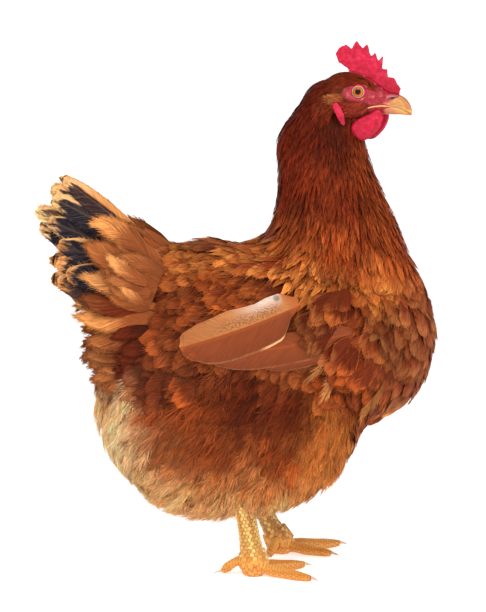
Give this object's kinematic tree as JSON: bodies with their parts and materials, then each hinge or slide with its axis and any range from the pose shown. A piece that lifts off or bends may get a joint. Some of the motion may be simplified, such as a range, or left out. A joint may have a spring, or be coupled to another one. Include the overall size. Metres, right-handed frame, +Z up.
{
  "type": "hen",
  "caption": "Brown laying hen standing still, neck stretched up and head turned slightly to its right, with folded wings and a raised, fanned tail.",
  "frame": {"origin": "middle of the hen's bounding box, on the floor between and under the feet", "axes": "+X the way the body faces, +Y to the hen's left, +Z up"},
  "size_m": [0.342, 0.1854, 0.4495],
  "materials": {
    "plumage": "soft body feathers, chestnut with buff tips",
    "hackle": "glossy narrow neck feathers, dark chestnut",
    "wing_feathers": "satin flight feathers, pinkish brown with pale edges",
    "tail_feathers": "satin tail feathers, buff with dark patches",
    "comb_skin": "soft red skin, satin",
    "beak_horn": "smooth yellow horn",
    "eye": "wet gloss, orange iris",
    "leg_scales": "dry yellow scales",
    "claw_horn": "pale worn horn"
  },
  "bodies": {
    "root": {"torso": "plumage", "neck_lower": "hackle", "neck_upper": "hackle", "head": "hackle", "tail": "tail_feathers", "wing_left": "wing_feathers", "wing_right": "wing_feathers", "thigh_left": "plumage", "thigh_right": "plumage", "comb": "comb_skin", "wattle_left": "comb_skin", "wattle_right": "comb_skin", "earlobe_left": "comb_skin", "earlobe_right": "comb_skin", "beak_upper": "beak_horn", "beak_lower": "beak_horn", "eye_left": "eye", "eye_right": "eye", "shank_left": "leg_scales", "shank_right": "leg_scales", "foot_left": "leg_scales", "foot_right": "leg_scales", "claw_left_inner": "claw_horn", "claw_left_middle": "claw_horn", "claw_left_outer": "claw_horn", "claw_left_hind": "claw_horn", "claw_right_inner": "claw_horn", "claw_right_middle": "claw_horn", "claw_right_outer": "claw_horn", "claw_right_hind": "claw_horn"}
  },
  "joints": []
}
